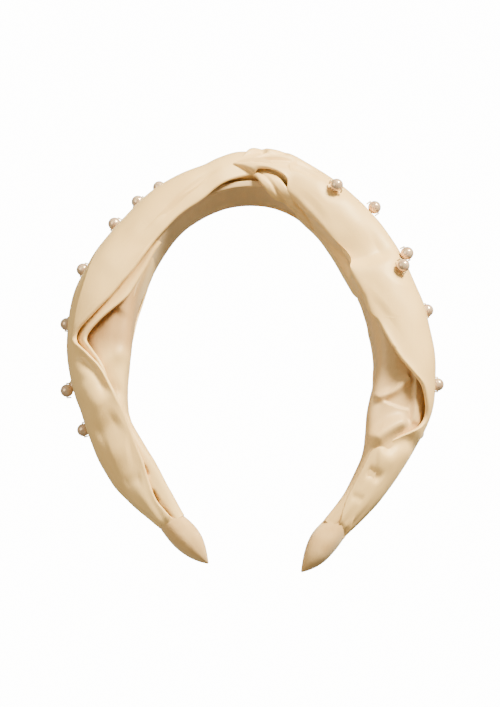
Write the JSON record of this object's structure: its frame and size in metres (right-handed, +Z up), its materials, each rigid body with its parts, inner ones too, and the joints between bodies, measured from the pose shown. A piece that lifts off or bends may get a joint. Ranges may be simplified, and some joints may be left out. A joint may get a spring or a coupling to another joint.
{
  "type": "headband",
  "caption": "Springy headband wrapped in puffed satin, with a twisted knot over the crown and round pearls sewn along its crest.",
  "frame": {"origin": "centre of the crown's bend, on the axis of the head seat", "axes": "+X towards the right-hand arm, +Y from the front edge to the back edge along the head seat's axis, +Z up through the crown"},
  "size_m": [0.1653, 0.046, 0.1818],
  "materials": {
    "core_plastic": "matte",
    "sleeve_satin": "satin",
    "ribbon_satin": "satin",
    "tip_fabric": "matte weave",
    "thread": "matte",
    "pearl": "pearlescent gloss"
  },
  "bodies": {
    "crown": {"core_crown": "core_plastic", "sleeve_crown": "sleeve_satin", "left_ribbon_knot": "ribbon_satin", "right_ribbon_knot": "ribbon_satin", "knot_tail": "ribbon_satin", "threads_crown": "thread", "pearl_crown_1": "pearl", "pearl_crown_2": "pearl", "pearl_crown_3": "pearl", "pearl_crown_4": "pearl", "pearl_crown_5": "pearl", "pearl_crown_6": "pearl", "pearl_crown_7": "pearl", "pearl_crown_8": "pearl"},
    "left_arm": {"core_left": "core_plastic", "sleeve_left": "sleeve_satin", "ribbon_left": "ribbon_satin", "tip_cap_left": "tip_fabric", "threads_left": "thread", "pearl_left_1": "pearl", "pearl_left_2": "pearl", "pearl_left_3": "pearl", "pearl_left_4": "pearl", "pearl_left_5": "pearl", "pearl_left_6": "pearl", "pearl_left_7": "pearl"},
    "right_arm": {"core_right": "core_plastic", "sleeve_right": "sleeve_satin", "ribbon_right": "ribbon_satin", "tip_cap_right": "tip_fabric", "threads_right": "thread", "pearl_right_1": "pearl", "pearl_right_2": "pearl", "pearl_right_3": "pearl", "pearl_right_4": "pearl", "pearl_right_5": "pearl", "pearl_right_6": "pearl", "pearl_right_7": "pearl"}
  },
  "joints": [
    {"name": "left_arm_flex", "type": "hinge", "parent": "crown", "child": "left_arm", "pos_m": [-0.04262, 0, 0.01431], "axis": [0, 1, 0], "range_deg": [-3, 16], "stiffness_Nm_per_rad": 1.7},
    {"name": "right_arm_flex", "type": "hinge", "parent": "crown", "child": "right_arm", "pos_m": [0.04262, 0, 0.01431], "axis": [0, -1, 0], "range_deg": [-3, 16], "stiffness_Nm_per_rad": 1.7}
  ]
}
